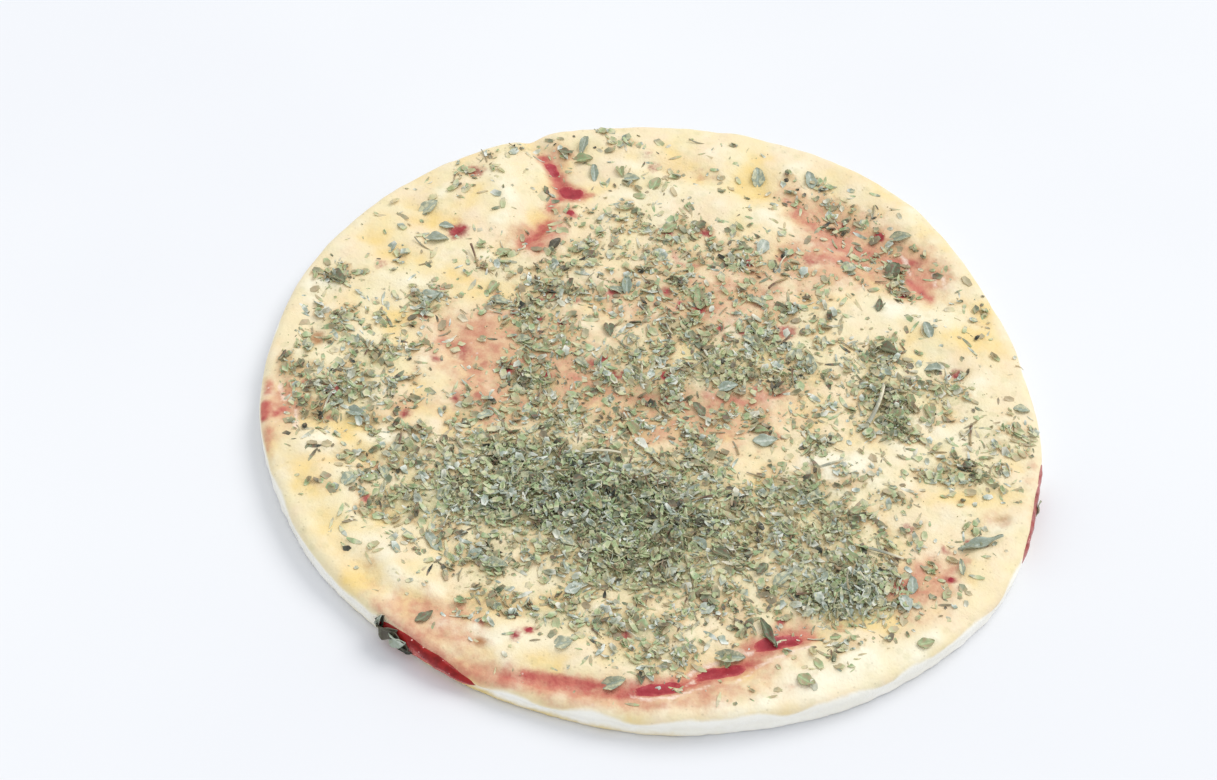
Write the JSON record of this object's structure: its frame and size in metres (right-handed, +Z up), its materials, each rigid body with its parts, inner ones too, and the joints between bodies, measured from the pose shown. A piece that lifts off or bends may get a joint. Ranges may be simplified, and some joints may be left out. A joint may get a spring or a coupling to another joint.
{
  "type": "pizza base",
  "caption": "Flat round pizza base of pale baked dough with puffs, sauce-stained furrows and dried herb leaves baked onto its top.",
  "frame": {"origin": "middle of the flat underside, on the plane that the base rests on", "axes": "+Z up out of the topped side; +X and +Y lie in the resting plane, +X to the right and -Y towards the viewer of the picture"},
  "size_m": [0.2004, 0.2003, 0.0098],
  "materials": {
    "crust": "pale baked dough, semi-matte, yellow puffs with pink and orange sauce stains",
    "herb": "dried grey-green herb leaves, matte",
    "stem": "dry straw-coloured stems, matte",
    "sauce": "thick baked tomato sauce, glossy crimson"
  },
  "bodies": {
    "root": {"pizza_base": "crust"}
  },
  "joints": []
}
